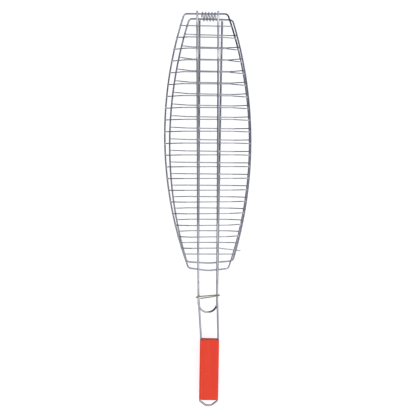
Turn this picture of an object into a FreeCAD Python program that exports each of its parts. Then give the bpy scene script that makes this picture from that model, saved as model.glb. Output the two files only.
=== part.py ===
import FreeCAD, Part
import Sketcher
import math
import os

# Hinged wire grill basket for fish.  Millimetres.
# +Y runs along the length towards the hinge, +X to the right, +Z up through the lid.
# The base half lies on its belly at z = 0; the lid half lies closed on top of it.

os.makedirs("parts", exist_ok=True)
doc = FreeCAD.newDocument("grill_basket")
sheet = doc.addObject("Spreadsheet::Sheet", "Sizes")

# ---------------------------------------------------------------- driving sizes
sizes = [
    # overall, in order from the hinge end to the hang loop
    ("rod_end_reach", 3.8),          # lid rods past the lid bar
    ("basket_length", 382.4),        # lid, from its hinge bar to the corners at the handle end
    ("lid_foot_drop", 3.7),          # depth of the shallow V at the handle end
    ("lid_handle_length", 65.2),     # lid's short handle, from the V to its round end
    ("free_rod_length", 40.2),       # bare base rods from there to the grip
    ("grip_length", 93.6),
    ("grip_end_gap", 11.1),          # from the grip to the end of the hang loop
    ("lid_half_width", 63.8),        # wire centres, widest place
    ("lid_end_half_width", 32.5),    # at the hinge bar
    ("lid_foot_half_width", 30.2),   # at the handle end
    ("base_half_width", 61.2),
    ("base_end_half_width", 32.5),
    ("base_foot_half_width", 35.0),
    ("tray_depth", 15.0),            # how far each half is dished out from its rim
    ("ramp_length", 75.0),           # length of the sloping end of the dish
    # wires
    ("rod_diameter", 3.0),
    ("rim_wire_diameter", 2.5),
    ("cross_wire_diameter", 1.6),
    ("coil_wire_diameter", 1.6),
    ("ring_wire_diameter", 1.8),
    ("weld_sink", 0.08),             # how far welded wires are pressed into each other
    ("half_gap", 0.3),               # air between the two rims when closed
    # rims
    ("rim_corner_radius", 6.0),
    ("foot_tip_radius", 60.0),
    ("base_foot_drop", 2.9),
    ("lid_foot_slant", 1.6),         # right corner lower than the left one
    ("base_foot_slant", -1.8),
    ("base_bar_slant", 1.5),
    ("foot_step", 10.3),             # the lid reaches this much further to the handle
    ("bar_gap", 8.1),                # between the centres of the two hinge bars
    ("base_rod_end_reach", 1.0),     # base rods past the base bar
    ("lid_skew", 0.25),              # degrees, the closed lid sits a little askew
    ("lid_side_step", -2.95),        # and to the left, at the ring
    ("rim_lean", 0.55),              # degrees, the lid's rim leans on its rods as well
    ("rim_side_step", 0.95),         # and is welded on a little to the right
    ("middle_shift", 4.0),           # centre line of the base, to the right of the middle of everything
    # rods
    ("lid_rod_half_top", 15.75),
    ("lid_rod_half_foot", 14.1),
    ("base_rod_half_top", 17.1),
    ("base_rod_half_foot", 14.9),
    ("base_rod_half_ring", 14.3),
    ("base_rod_half_grip", 13.25),
    ("base_rod_drift", -2.8),        # base rods bow to the left between basket and ring
    ("grip_drift_start", 0.2),       # the grip stands a little askew on the handle
    ("grip_drift_end", -0.9),
    ("handle_rod_gap", 0.5),         # between lid and base rods along the handle
    ("lid_step_start", 3.0),         # behind the tip of the lid's rim
    ("lid_step_length", 28.0),
    ("bend_radius", 400.0),          # gentle bends where the rods draw together
    ("grip_bend_radius", 100.0),
    ("grip_bend_before", 4.0),       # the rods are parallel from here, ahead of the grip
    ("foot_bend_behind", 8.0),       # behind the tip of the base's rim
    # cross wires
    ("lid_first_wire", 18.3),        # from the hinge bar
    ("lid_last_wire", 31.2),         # from the corners at the handle end
    ("base_first_wire", 22.8),
    ("base_last_wire", 10.9),
    ("wire_flat_share", 0.6),        # flat middle of each cross wire
    ("wire_bend_radius", 8.0),
    ("wire_end_flat", 3.0),
    ("wire_end_reach", 1.3),         # past the rim wire's centre
    ("lid_slant_top", -1.5),         # degrees
    ("lid_slant_foot", 0.3),
    ("base_slant_top", -1.3),
    ("base_slant_foot", 0.2),
    ("stray_end_reach", 8.6),        # the lid's last wire runs past the rim on its right
    ("stray_end_drop", 5.0),
    # hinge coil
    ("coil_clearance", 0.5),
    ("coil_pitch", 4.7),
    ("coil_end_clearance", 0.7),     # to the rods at its two ends
    # lock ring
    ("ring_before_end", 24.9),       # from the round end of the lid's handle
    ("ring_side_clearance", 1.1),
    ("ring_height_clearance", 0.6),
    ("ring_corner_radius", 3.4),
    ("ring_right_rise", 2.3),        # the ring's right end stands nearer the hinge
    ("ring_left_drop", 1.1),         # and its left end nearer the grip
    ("ring_cut_inset", 6.2),         # both cut ends, in from the left end
    ("ring_long_end_drop", 2.1),     # the long strand's cut end, towards the grip
    ("ring_short_end_rise", 2.2),    # the short strand's cut end, towards the hinge
    # grip
    ("grip_thickness", 12.0),
    ("grip_corner_radius", 2.2),
    ("grip_edge_radius", 1.2),
    ("groove_clearance", 0.06),
    ("loop_radius", 15.5),
    ("loop_corner_radius", 3.2),
]
wire_count = 20

row = 0


def put(name, value):
    """One named cell: a number, or a formula starting with '='."""
    global row
    row += 1
    sheet.set("A" + str(row), name)
    sheet.set("B" + str(row), str(value))
    sheet.setAlias("B" + str(row), name)


for name, value in sizes:
    put(name, value)

# ---------------------------------------------------------------- derived sizes
derived = [
    ("overall_length", "=rod_end_reach + basket_length + lid_foot_drop + lid_handle_length"
     " + free_rod_length + grip_length + grip_end_gap"),
    ("lid_length", "=basket_length"),
    ("lid_bar_y", "=overall_length / 2 - rod_end_reach"),
    ("lid_foot_y", "=lid_bar_y - lid_length"),
    ("bar_rise", "=rim_wire_diameter + half_gap"),
    ("base_bar_y", "=lid_bar_y - sqrt(bar_gap * bar_gap - bar_rise * bar_rise)"),
    ("base_foot_y", "=lid_foot_y + foot_step"),
    ("base_length", "=base_bar_y - base_foot_y"),
    ("rod_lift", "=(rod_diameter + rim_wire_diameter) / 2 - weld_sink"),
    ("wire_lift", "=(cross_wire_diameter + rim_wire_diameter) / 2 - weld_sink"),
    ("wire_on_rod", "=(cross_wire_diameter + rod_diameter) / 2 - weld_sink"),
    ("base_rod_z", "=rod_diameter / 2 + tray_depth"),
    ("base_rim_z", "=base_rod_z + rod_lift"),
    ("lid_rim_z", "=base_rim_z + bar_rise"),
    ("lid_rod_z", "=lid_rim_z + rod_lift"),
    ("base_wire_end_z", "=base_rim_z - wire_lift"),
    ("lid_wire_end_z", "=lid_rim_z + wire_lift"),
    ("ramp_radius", "=(ramp_length * ramp_length + tray_depth * tray_depth) / (4 * tray_depth)"),
    ("lid_tip_y", "=lid_foot_y - lid_foot_drop"),
    ("base_tip_y", "=base_foot_y - base_foot_drop"),
    ("lid_handle_y", "=lid_tip_y - lid_handle_length"),
    ("ring_y", "=lid_handle_y + ring_before_end"),
    ("skew_y", "=ring_y"),
    ("lid_shift_x", "=middle_shift + lid_side_step + skew_y * sin(lid_skew)"),
    ("lid_shift_y", "=skew_y * (1 - cos(lid_skew))"),
    ("rim_skew", "=lid_skew + rim_lean"),
    ("rim_shift_x", "=lid_shift_x + rim_side_step + lid_foot_y * (sin(rim_skew) - sin(lid_skew))"),
    ("rim_shift_y", "=lid_shift_y + lid_foot_y * (cos(lid_skew) - cos(rim_skew))"),
    ("lid_bar_slant", "=2 * lid_end_half_width * tan(rim_skew)"),
    ("lid_pitch", "=(lid_length - lid_first_wire - lid_last_wire) / %d" % (wire_count - 1)),
    ("base_pitch", "=(base_length - base_first_wire - base_last_wire) / %d" % (wire_count - 1)),
    ("lid_handle_z", "=base_rod_z + rod_diameter + handle_rod_gap"),
    ("ring_z", "=(base_rod_z + lid_handle_z) / 2"),
    ("ring_half_height", "=(lid_handle_z - base_rod_z + rod_diameter + ring_wire_diameter) / 2"
     " + ring_height_clearance"),
    ("ring_left", "=max(lid_rod_half_foot - lid_side_step; base_rod_half_ring - base_rod_drift)"),
    ("ring_right", "=max(lid_rod_half_foot + lid_side_step; base_rod_half_ring + base_rod_drift)"),
    ("ring_half_width", "=(ring_left + ring_right + rod_diameter + ring_wire_diameter) / 2"
     " + ring_side_clearance"),
    ("ring_x", "=middle_shift + (ring_right - ring_left) / 2"),
    ("grip_end_y", "=-overall_length / 2 + grip_end_gap"),
    ("grip_middle_y", "=grip_end_y + grip_length / 2"),
    ("grip_start_y", "=grip_end_y + grip_length"),
    ("grip_x", "=middle_shift + (grip_drift_start + grip_drift_end) / 2"),
    ("grip_lean", "=-atan((grip_drift_start - grip_drift_end) / grip_length)"),
    ("grip_half_width", "=base_rod_half_grip + rod_diameter / 2"),
    ("groove_radius", "=rod_diameter / 2 + groove_clearance"),
    ("coil_radius", "=bar_gap / 2 + (rim_wire_diameter + coil_wire_diameter) / 2 + coil_clearance"),
    ("lid_rod_drift", "=lid_side_step - (lid_bar_y - skew_y) * sin(lid_skew)"),
    ("coil_left", "=-base_rod_half_top + rod_diameter / 2 + coil_end_clearance"),
    ("coil_right", "=lid_rod_drift + lid_rod_half_top - rod_diameter / 2 - coil_end_clearance"),
    ("coil_length", "=coil_right - coil_left - coil_wire_diameter"),
    ("coil_x", "=middle_shift + (coil_left + coil_right) / 2"),
    ("coil_y", "=(lid_bar_y + base_bar_y) / 2"),
    ("coil_z", "=(lid_rim_z + base_rim_z) / 2"),
    ("coil_turn_angle", "=-atan(base_bar_slant / (4 * base_end_half_width))"),
]
for name, formula in derived:
    put(name, formula)


def corner_cells(half):
    """Corners of one rim, and the circle that each bowed side follows."""
    put(half + "_bar_right_y", "=%s_bar_y - %s_bar_slant / 2" % (half, half))
    put(half + "_bar_left_y", "=%s_bar_y + %s_bar_slant / 2" % (half, half))
    put(half + "_foot_right_y", "=%s_foot_y - %s_foot_slant / 2" % (half, half))
    put(half + "_foot_left_y", "=%s_foot_y + %s_foot_slant / 2" % (half, half))
    put(half + "_bar_left_x", "=-%s_end_half_width" % half)
    put(half + "_foot_left_x", "=-%s_foot_half_width" % half)
    put(half + "_narrowing", "=%s_end_half_width - %s_foot_half_width" % (half, half))
    put(half + "_chord", "=sqrt(%s_length ^ 2 + %s_narrowing ^ 2)" % (half, half))
    put(half + "_bow", "=%s_half_width - (%s_end_half_width + %s_foot_half_width) / 2" % (half, half, half))
    put(half + "_side_radius", "=(%s_chord ^ 2 / 4 + %s_bow ^ 2) / (2 * %s_bow)" % (half, half, half))
    put(half + "_circle_x", "=%s_half_width - %s_bow - (%s_side_radius - %s_bow) * %s_length / %s_chord"
        % (half, half, half, half, half, half))
    put(half + "_circle_y", "=(%s_bar_y + %s_foot_y) / 2 + (%s_side_radius - %s_bow) * %s_narrowing / %s_chord"
        % (half, half, half, half, half, half))


def wire_cells(half, number):
    """Place and height of one cross wire, laid against the two rods."""
    tag = "%s_wire_%02d_" % (half, number)
    side = 1 if half == "base" else -1
    put(tag + "y", "=%s_bar_y - %s_first_wire - %d * %s_pitch" % (half, half, number - 1, half))
    put(tag + "half", "=%s_circle_x + sqrt(%s_side_radius ^ 2 - (%sy - %s_circle_y) ^ 2)"
        % (half, half, tag, half))
    put(tag + "end", "=min(%s_bar_y - %sy; %sy - %s_tip_y)" % (half, tag, tag, half))
    put(tag + "arc", "=min(%send; max(ramp_length - %send; 0))" % (tag, tag))
    put(tag + "cosine", "=sqrt(1 - (%sarc / ramp_radius) ^ 2)" % tag)
    put(tag + "dish", "=%send < ramp_length / 2 ? ramp_radius * (1 - %scosine)"
        " : tray_depth - ramp_radius * (1 - %scosine)" % (tag, tag, tag))
    put(tag + "z", "=%s_rod_z - %d * (%sdish - wire_on_rod / %scosine)" % (half, side, tag, tag))
    put(tag + "flat", "=%shalf * wire_flat_share" % tag)
    put(tag + "bend", "=%shalf - wire_end_flat" % tag)
    put(tag + "reach", "=%shalf + wire_end_reach" % tag)
    put(tag + "slant", "=%s_slant_top + (%s_slant_foot - %s_slant_top) * %f"
        % (half, half, half, (number - 1) / (wire_count - 1)))
    if half == "lid":
        put(tag + "place_x", "=rim_shift_x - sin(rim_skew) * %sy" % tag)
        put(tag + "place_y", "=rim_shift_y + cos(rim_skew) * %sy" % tag)
        put(tag + "angle", "=rim_skew + %sslant" % tag)


corner_cells("lid")
corner_cells("base")
for number in range(1, wire_count + 1):
    wire_cells("lid", number)
    wire_cells("base", number)
doc.recompute()


def size(name):
    return float(sheet.get(name))


def signed(cell):
    """Number and expression of a cell name that may carry a leading minus sign."""
    if cell == "0":
        return 0.0, None
    if cell.startswith("-"):
        return -size(cell[1:]), "-Sizes." + cell[1:]
    return size(cell), "Sizes." + cell


# ---------------------------------------------------------------- sketch helpers
def plane(body, role):
    return [part for part in body.Origin.OriginFeatures if part.Role == role][0]


def new_sketch(body, name, role):
    sketch = body.newObject("Sketcher::SketchObject", name)
    sketch.AttachmentSupport = [(plane(body, role), "")]
    sketch.MapMode = "FlatFace"
    return sketch


def bind_last(sketch, expression):
    """Ties the constraint added last to the sheet."""
    if expression:
        sketch.setExpression("Constraints[%d]" % (sketch.ConstraintCount - 1), expression)


def meet(a, b, near):
    """Circle-circle or line-circle crossing nearest to a point; both are (kind, point, value)."""
    if a[0] == "circle" and b[0] == "line":
        a, b = b, a
    if a[0] == "line" and b[0] == "line":
        (ax, ay), (adx, ady) = a[1], a[2]
        (bx, by), (bdx, bdy) = b[1], b[2]
        cross = adx * bdy - ady * bdx
        along = ((bx - ax) * bdy - (by - ay) * bdx) / cross
        return ax + along * adx, ay + along * ady
    (px, py), (dx, dy) = a[1], a[2]
    (cx, cy), radius = b[1], b[2]
    middle = (cx - px) * dx + (cy - py) * dy
    fx, fy = px + middle * dx, py + middle * dy
    half = math.sqrt(radius ** 2 - (fx - cx) ** 2 - (fy - cy) ** 2)
    found = [(fx + s * half * dx, fy + s * half * dy) for s in (-1, 1)]
    return min(found, key=lambda q: math.hypot(q[0] - near[0], q[1] - near[1]))


def side_carrier(start, end, bow):
    """Straight line, or the circle of given radius bulging to the left of start-to-end."""
    dx, dy = end[0] - start[0], end[1] - start[1]
    length = math.hypot(dx, dy)
    if not bow:
        return ("line", start, (dx / length, dy / length))
    back = math.sqrt(bow ** 2 - (length / 2) ** 2)
    middle = ((start[0] + end[0]) / 2, (start[1] + end[1]) / 2)
    return ("circle", (middle[0] + dy / length * back, middle[1] - dx / length * back), bow)


def moved_in(carrier, offset, clockwise):
    """Carrier moved sideways by offset, to the right of travel when clockwise."""
    turn = 1 if clockwise else -1
    if carrier[0] == "circle":
        return ("circle", carrier[1], carrier[2] - turn * offset)
    (x, y), (dx, dy) = carrier[1], carrier[2]
    return ("line", (x + turn * offset * dy, y - turn * offset * dx), (dx, dy))


def foot_on(carrier, point):
    """Nearest point of a carrier."""
    if carrier[0] == "circle":
        (cx, cy), radius = carrier[1], carrier[2]
        away = math.hypot(point[0] - cx, point[1] - cy)
        return cx + (point[0] - cx) / away * radius, cy + (point[1] - cy) / away * radius
    (x, y), (dx, dy) = carrier[1], carrier[2]
    along = (point[0] - x) * dx + (point[1] - y) * dy
    return x + along * dx, y + along * dy


def bent_path(sketch, corners, bends, bows):
    """A wire's centre line: corners joined by straight or bowed pieces, each corner rounded.

    corners: (x cell, y cell); bends: radius cell of every inner corner; bows: radius cell
    of each piece, None when it is straight.
    """
    spots = [(signed(x)[0], signed(y)[0]) for x, y in corners]
    marks = []
    for (x_cell, y_cell), spot in zip(corners, spots):
        mark = sketch.addGeometry(Part.Point(FreeCAD.Vector(spot[0], spot[1], 0)), True)
        marks.append(mark)
        for kind, cell, number in (("DistanceX", x_cell, spot[0]), ("DistanceY", y_cell, spot[1])):
            if cell == "0":
                axis = -2 if kind == "DistanceX" else -1
                sketch.addConstraint(Sketcher.Constraint("PointOnObject", mark, 1, axis))
            else:
                sketch.addConstraint(Sketcher.Constraint(kind, -1, 1, mark, 1, number))
                bind_last(sketch, signed(cell)[1])
    carriers = []
    for i, bow in enumerate(bows):
        carriers.append(side_carrier(spots[i], spots[i + 1], size(bow) if bow else None))
    rounds = []
    for i, bend in enumerate(bends):
        before, after = carriers[i], carriers[i + 1]
        a, b, c = spots[i], spots[i + 1], spots[i + 2]
        clockwise = (b[0] - a[0]) * (c[1] - b[1]) - (b[1] - a[1]) * (c[0] - b[0]) < 0
        radius = size(bend)
        centre = meet(moved_in(before, radius, clockwise), moved_in(after, radius, clockwise), b)
        rounds.append((centre, radius, foot_on(before, centre), foot_on(after, centre), clockwise))

    def arc(centre, radius, start, end, clockwise):
        first, last = (end, start) if clockwise else (start, end)
        a0 = math.atan2(first[1] - centre[1], first[0] - centre[0])
        a1 = math.atan2(last[1] - centre[1], last[0] - centre[0])
        if a1 < a0:
            a1 += 2 * math.pi
        circle = Part.Circle(FreeCAD.Vector(centre[0], centre[1], 0), FreeCAD.Vector(0, 0, 1), radius)
        return sketch.addGeometry(Part.ArcOfCircle(circle, a0, a1), False)

    last_piece = None
    for i, carrier in enumerate(carriers):
        start = spots[0] if i == 0 else rounds[i - 1][3]
        end = spots[-1] if i == len(carriers) - 1 else rounds[i][2]
        if carrier[0] == "line":
            piece = sketch.addGeometry(
                Part.LineSegment(FreeCAD.Vector(start[0], start[1], 0), FreeCAD.Vector(end[0], end[1], 0)),
                False)
            piece_start, piece_end = 1, 2
        else:
            piece = arc(carrier[1], carrier[2], start, end, True)
            piece_start, piece_end = 2, 1
            sketch.addConstraint(Sketcher.Constraint("Radius", piece, carrier[2]))
            bind_last(sketch, "Sizes." + bows[i])
        if last_piece is None:
            sketch.addConstraint(Sketcher.Constraint("Coincident", piece, piece_start, marks[0], 1))
        else:
            sketch.addConstraint(
                Sketcher.Constraint("Tangent", last_piece[0], last_piece[1], piece, piece_start))
            sketch.addConstraint(Sketcher.Constraint("PointOnObject", marks[i], 1, piece))
        if i == len(carriers) - 1:
            sketch.addConstraint(Sketcher.Constraint("Coincident", piece, piece_end, marks[-1], 1))
            break
        sketch.addConstraint(Sketcher.Constraint("PointOnObject", marks[i + 1], 1, piece))
        centre, radius, touch_start, touch_end, clockwise = rounds[i]
        bend = arc(centre, radius, touch_start, touch_end, clockwise)
        bend_start, bend_end = (2, 1) if clockwise else (1, 2)
        sketch.addConstraint(Sketcher.Constraint("Tangent", piece, piece_end, bend, bend_start))
        sketch.addConstraint(Sketcher.Constraint("Radius", bend, radius))
        bind_last(sketch, "Sizes." + bends[i])
        last_piece = (bend, bend_end)


def round_section(body, name, role, x_cell, y_cell, diameter_cell, offset_cell=None):
    """Circle across the start of a wire."""
    sketch = new_sketch(body, name, role)
    x, x_text = signed(x_cell)
    y, y_text = signed(y_cell)
    if offset_cell:
        sketch.setExpression("AttachmentOffset.Base.z", signed(offset_cell)[1])
    circle = Part.Circle(FreeCAD.Vector(x, y, 0), FreeCAD.Vector(0, 0, 1), size(diameter_cell) / 2)
    ring = sketch.addGeometry(circle, False)
    for kind, text, number, axis in (("DistanceX", x_text, x, -2), ("DistanceY", y_text, y, -1)):
        if text is None:
            sketch.addConstraint(Sketcher.Constraint("PointOnObject", ring, 3, axis))
        else:
            sketch.addConstraint(Sketcher.Constraint(kind, -1, 1, ring, 3, number))
            bind_last(sketch, text)
    sketch.addConstraint(Sketcher.Constraint("Diameter", ring, size(diameter_cell)))
    bind_last(sketch, "Sizes." + diameter_cell)
    return sketch


def new_body(label):
    body = doc.addObject("PartDesign::Body", label)
    body.Label = label
    return body


def place(item, x=None, y=None, z=None, angle=None):
    for axis, text in (("x", x), ("y", y), ("z", z)):
        if text:
            item.setExpression("Placement.Base." + axis, text)
    if angle:
        item.setExpression("Placement.Rotation.Angle", angle)


def run_pipe(body, path, section):
    pipe = body.newObject("PartDesign::AdditivePipe", body.Name + "_pipe")
    pipe.Profile = section
    pipe.Spine = (path, [])
    pipe.Mode = "Standard"
    path.Visibility = False
    section.Visibility = False
    body.Tip = pipe
    return body


# ---------------------------------------------------------------- rims
def make_rim(half):
    """Closed wire outline: hinge bar, two bowed sides, shallow V at the handle end."""
    body = new_body(half + "_rim_wire")
    path = new_sketch(body, half + "_rim_path", "XY_Plane")
    corners = [
        ("0", half + "_bar_y"),
        (half + "_end_half_width", half + "_bar_right_y"),
        (half + "_foot_half_width", half + "_foot_right_y"),
        ("0", half + "_tip_y"),
        (half + "_foot_left_x", half + "_foot_left_y"),
        (half + "_bar_left_x", half + "_bar_left_y"),
        ("0", half + "_bar_y"),
    ]
    corner = "rim_corner_radius"
    side = half + "_side_radius"
    bent_path(path, corners, [corner, corner, "foot_tip_radius", corner, corner],
              [None, side, None, None, side, None])
    section = round_section(body, half + "_rim_section", "YZ_Plane", half + "_bar_y", "0",
                            "rim_wire_diameter")
    run_pipe(body, path, section)
    if half == "lid":
        place(body, "Sizes.rim_shift_x", "Sizes.rim_shift_y", "Sizes.lid_rim_z", "Sizes.rim_skew")
    else:
        place(body, "Sizes.middle_shift", z="Sizes.base_rim_z")
    return body


# ---------------------------------------------------------------- cross wires
def make_cross_wire(half, number):
    """Thin wire: flat across the rods, sloping up to the rim at both sides, ends welded on it."""
    tag = "%s_wire_%02d_" % (half, number)
    body = new_body("%s_cross_wire_%02d" % (half, number))
    path = new_sketch(body, tag + "path", "XZ_Plane")
    end_z = half + "_wire_end_z"
    corners = [
        ("-" + tag + "reach", end_z),
        ("-" + tag + "bend", end_z),
        ("-" + tag + "flat", tag + "z"),
        (tag + "flat", tag + "z"),
        (tag + "bend", end_z),
        (tag + "reach", end_z),
    ]
    bent_path(path, corners, ["wire_bend_radius"] * 4, [None] * 5)
    section = round_section(body, tag + "section", "YZ_Plane", "0", end_z, "cross_wire_diameter",
                            "-" + tag + "reach")
    run_pipe(body, path, section)
    if half == "lid":
        place(body, "Sizes." + tag + "place_x", "Sizes." + tag + "place_y", angle="Sizes." + tag + "angle")
    else:
        place(body, "Sizes.middle_shift", "Sizes." + tag + "y", angle="Sizes." + tag + "slant")
    return body


# ---------------------------------------------------------------- bent rods in space
def bent_wire(points, radii):
    """Straight pieces joined by arcs; the first and last point have no bend."""
    closest = 0.01  # arcs nearer than this follow each other with no straight piece
    edges = []
    start = points[0]
    for i in range(1, len(points) - 1):
        corner = points[i]
        back = (points[i - 1] - corner).normalize()
        ahead = (points[i + 1] - corner).normalize()
        turn = math.pi - back.getAngle(ahead)
        trim = radii[i - 1] * math.tan(turn / 2)
        first = corner + back * trim
        last = corner + ahead * trim
        inward = (back + ahead).normalize()
        centre = corner + inward * (radii[i - 1] / math.cos(turn / 2))
        middle = centre - inward * radii[i - 1]
        if (first - start).Length > closest:
            edges.append(Part.LineSegment(start, first).toShape())
        else:
            first = start
        edges.append(Part.Arc(first, middle, last).toShape())
        start = last
    edges.append(Part.LineSegment(start, points[-1]).toShape())
    return Part.Wire(edges)


def sweep_rod(label, points, radii, diameter_cell):
    """Round rod swept along a centre line in space."""
    spine = doc.addObject("Part::Feature", label + "_centre_line")
    spine.Shape = bent_wire(points, radii)
    spine.Visibility = False
    ring = doc.addObject("Part::Circle", label + "_section")
    ring.setExpression("Radius", "Sizes.%s / 2" % diameter_cell)
    ahead = (points[1] - points[0]).normalize()
    ring.Placement = FreeCAD.Placement(points[0], FreeCAD.Rotation(FreeCAD.Vector(0, 0, 1), ahead))
    ring.Visibility = False
    rod = doc.addObject("Part::Sweep", label)
    rod.Label = label
    rod.Sections = [ring]
    rod.Spine = (spine, ["Edge%d" % (i + 1) for i in range(len(spine.Shape.Edges))])
    rod.Solid = True
    rod.Frenet = False
    return rod


def ramp(y_rim, y_dish, z_rim, z_dish):
    """The two bends of a dished end: where the rod leaves the rim's level, and the dish's."""
    length = abs(y_dish - y_rim)
    height = abs(z_dish - z_rim)
    radius = (length ** 2 + height ** 2) / (4 * height)
    trim = radius * math.tan(math.asin(length / 2 / radius) / 2)
    way = 1 if y_dish > y_rim else -1
    return [(y_rim + way * trim, z_rim), (y_dish - way * trim, z_dish)], radius


def taper(y, table):
    """Value at y, straight between the places given in the table of (y, value)."""
    for (y0, x0), (y1, x1) in zip(table, table[1:]):
        if y >= y1:
            return x0 + (x1 - x0) * (y0 - y) / (y0 - y1)
    return table[-1][1]


def turned_point(kind, x, y, z):
    """From the lid's own lines to the closed basket; kind is "lid" for the rods, "rim" for the rim."""
    turn = math.radians(size(kind + "_skew"))
    return FreeCAD.Vector(
        size(kind + "_shift_x") + math.cos(turn) * x - math.sin(turn) * y,
        size(kind + "_shift_y") + math.sin(turn) * x + math.cos(turn) * y,
        z)


def make_lid_rod():
    """Lid hairpin: both rods and the short round handle end are one wire."""
    bar_y, tip_y = size("lid_bar_y"), size("lid_tip_y")
    rod_z, dish_z = size("lid_rod_z"), size("lid_rod_z") + size("tray_depth")
    handle_z = size("lid_handle_z")
    end_half = size("lid_rod_half_foot")
    end_y = size("lid_handle_y") + size("rod_diameter") / 2
    table = [(bar_y, size("lid_rod_half_top")), (end_y + end_half, end_half), (end_y - 1, end_half)]
    top_ramp, ramp_radius = ramp(bar_y, bar_y - size("ramp_length"), rod_z, dish_z)
    foot_ramp, ramp_radius = ramp(tip_y, tip_y + size("ramp_length"), rod_z, dish_z)
    step_start = tip_y - size("lid_step_start")
    step, step_radius = ramp(step_start, step_start - size("lid_step_length"), rod_z, handle_z)
    line = [(bar_y + size("rod_end_reach"), rod_z)]
    line += top_ramp + foot_ramp[::-1] + step
    radii = [ramp_radius] * 4 + [step_radius] * 2
    right = [turned_point("lid", taper(y, table), y, z) for y, z in line]
    left = [turned_point("lid", -taper(y, table), y, z) for y, z in line]
    turn = [turned_point("lid", x, end_y, handle_z) for x in (end_half, -end_half)]
    points = right + turn + left[::-1]
    return sweep_rod("lid_handle_rod", points, radii + [end_half - 0.05] * 2 + radii[::-1], "rod_diameter")


def make_base_rod():
    """Base hairpin: both rods, the long handle and the hang loop are one wire."""
    bar_y, tip_y = size("base_bar_y"), size("base_tip_y")
    rod_z, dish_z = size("base_rod_z"), size("rod_diameter") / 2
    grip_half = size("base_rod_half_grip")
    grip_start, grip_end = size("grip_start_y"), size("grip_end_y")
    ring_y = size("ring_y")
    foot_bend_y = tip_y - size("foot_bend_behind")
    grip_bend_y = grip_start + size("grip_bend_before")
    table = [(bar_y + 10, size("base_rod_half_top")), (foot_bend_y, size("base_rod_half_foot")),
             (ring_y, size("base_rod_half_ring")), (grip_bend_y, grip_half), (grip_end - 50, grip_half)]
    top_ramp, ramp_radius = ramp(bar_y, bar_y - size("ramp_length"), rod_z, dish_z)
    foot_ramp, ramp_radius = ramp(tip_y, tip_y + size("ramp_length"), rod_z, dish_z)
    line = [(bar_y + size("base_rod_end_reach"), rod_z)] + top_ramp + foot_ramp[::-1]
    line += [(foot_bend_y, rod_z), (ring_y, rod_z), (grip_bend_y, rod_z)]
    radii = [ramp_radius] * 4 + [size("bend_radius")] * 2 + [size("grip_bend_radius")]
    middle = size("middle_shift")
    ring_drift = size("base_rod_drift")
    lean = (size("grip_drift_start") - size("grip_drift_end")) / (grip_start - grip_end)
    drift = [(bar_y + 10, 0.0), (foot_bend_y, ring_drift), (ring_y, ring_drift),
             (grip_bend_y, size("grip_drift_end") + lean * (grip_bend_y - grip_end)),
             (grip_end - 50, size("grip_drift_end") - lean * 50)]

    def rod_point(side, half, y, z):
        return FreeCAD.Vector(middle + taper(y, drift) + side * half, y, z)

    right = [rod_point(1, taper(y, table), y, z) for y, z in line]
    left = [rod_point(-1, taper(y, table), y, z) for y, z in line]
    # shallow bowed hang loop, as chords of one circle
    loop_radius = size("loop_radius")
    loop_y = -size("overall_length") / 2 + size("rod_diameter") / 2
    centre_y = loop_y + loop_radius
    reach = math.asin(grip_half / loop_radius)
    knee_y = centre_y - loop_radius * math.cos(reach) - 0.6
    corner_radius = size("loop_corner_radius")
    flat_half = loop_radius * math.tan(reach / 4)
    loop = [rod_point(1, grip_half, knee_y, rod_z), rod_point(1, flat_half, loop_y, rod_z)]
    loop += [rod_point(-1, flat_half, loop_y, rod_z), rod_point(-1, grip_half, knee_y, rod_z)]
    points = right + loop + left[::-1]
    bends = radii + [corner_radius, loop_radius * 0.55, loop_radius * 0.55, corner_radius] + radii[::-1]
    return sweep_rod("base_handle_rod", points, bends, "rod_diameter")


def make_stray_wire(number):
    """The lid's last cross wire: its right end is bent off line and runs past the rim."""
    tag = "lid_wire_%02d_" % number
    y, z, end_z = size(tag + "y"), size(tag + "z"), size("lid_wire_end_z")
    flat, bend, reach = size(tag + "flat"), size(tag + "bend"), size(tag + "reach")
    far = size(tag + "half") + size("stray_end_reach")
    rod_half = size("lid_rod_half_foot") + size("rod_diameter")
    slope = size("stray_end_drop") / (far - rod_half)

    def sag(x):
        return y - slope * max(0.0, x - rod_half)

    places = [(-reach, end_z), (-bend, end_z), (-flat, z), (rod_half, z), (flat, z), (bend, end_z),
              (far, end_z)]
    points = [turned_point("rim", x, sag(x), height) for x, height in places]
    radius = size("wire_bend_radius")
    return sweep_rod("lid_cross_wire_%02d" % number, points, [radius] * 5, "cross_wire_diameter")


# ---------------------------------------------------------------- hinge coil
def make_coil():
    """Loose wire coil threaded round both hinge bars, between the lid's rods."""
    body = new_body("hinge_coil")
    section = round_section(body, "coil_section", "XZ_Plane", "coil_radius", "0", "coil_wire_diameter")
    coil = body.newObject("PartDesign::AdditiveHelix", "coil_helix")
    coil.Profile = section
    coil.ReferenceAxis = (section, ["V_Axis"])
    coil.Mode = 0
    coil.setExpression("Pitch", "Sizes.coil_pitch")
    coil.setExpression("Height", "Sizes.coil_length")
    section.Visibility = False
    body.Tip = coil
    along_bars = FreeCAD.Rotation(FreeCAD.Vector(0, 0, 1), size("coil_turn_angle"))
    on_side = FreeCAD.Rotation(FreeCAD.Vector(0, 1, 0), 90)
    start = FreeCAD.Vector(size("coil_x"), size("coil_y"), size("coil_z"))
    start += along_bars.multVec(FreeCAD.Vector(-size("coil_length") / 2, 0, 0))
    body.Placement = FreeCAD.Placement(start, along_bars.multiply(on_side))
    return body


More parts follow.
